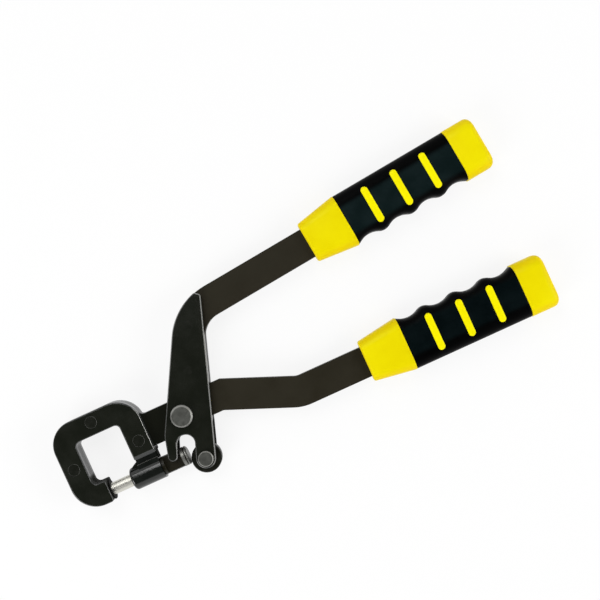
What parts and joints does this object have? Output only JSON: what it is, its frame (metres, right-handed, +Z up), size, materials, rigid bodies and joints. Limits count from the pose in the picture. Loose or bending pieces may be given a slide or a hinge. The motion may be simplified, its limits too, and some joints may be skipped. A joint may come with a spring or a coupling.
{
  "type": "two-handed metal stud crimper",
  "caption": "Two-handed sheet-metal punch pliers: C-shaped jaw with guided punch and die, roller lever, long cushioned handles.",
  "frame": {"origin": "centre of the pivot rivet's rear head, on the surface that the tool lies on", "axes": "+X along the punch towards the handles, +Y towards the moving handle, +Z up off the surface"},
  "size_m": [0.324, 0.1347, 0.02],
  "materials": {
    "bar_phosphate": "matte brown-black phosphate",
    "black_oxide": "satin black",
    "barrel_black": "glossy black",
    "die_black": "satin black",
    "dark_steel": "dark hardened steel",
    "bright_steel": "ground bright",
    "rivet_steel": "dull grey",
    "plunger_steel": "oiled brown-black steel",
    "roller_black": "satin black",
    "bush_steel": "sintered steel",
    "grip_yellow": "semi-gloss yellow",
    "grip_black": "soft matte black"
  },
  "bodies": {
    "frame": {"frame_plate": "bar_phosphate", "jaw_cheek_front": "black_oxide", "jaw_cheek_rear": "black_oxide", "jaw_rivets": "black_oxide", "guide_barrel": "barrel_black", "die_button": "die_black", "die_screw": "dark_steel", "lower_grip_core": "grip_yellow", "lower_grip_sleeve": "grip_black"},
    "lever": {"head_plate_front": "black_oxide", "head_plate_rear": "black_oxide", "lever_bar": "bar_phosphate", "head_rivets": "black_oxide", "pivot_rivet": "rivet_steel", "pivot_washers": "dark_steel", "roller_pin": "rivet_steel", "upper_grip_core": "grip_yellow", "upper_grip_sleeve": "grip_black"},
    "roller": {"roller": "roller_black", "roller_bush": "bush_steel"},
    "plunger": {"plunger": "plunger_steel", "punch": "bright_steel", "punch_cross_pin": "dark_steel"}
  },
  "joints": [
    {"name": "lever_hinge", "type": "hinge", "parent": "frame", "child": "lever", "pos_m": [0, 0, 0.01], "axis": [0, 0, 1], "range_deg": [0, 30]},
    {"name": "roller_spin", "type": "hinge", "parent": "lever", "child": "roller", "pos_m": [0.00275, -0.0301, 0.01], "axis": [0, 0, 1], "continuous": true},
    {"name": "punch_slide", "type": "slide", "parent": "frame", "child": "plunger", "axis": [1, 0, 0], "range_m": [0, 0.014]}
  ],
  "couplings": [
    {"joint": "punch_slide", "follows": "lever_hinge", "m_per_rad": 0.026547}
  ]
}
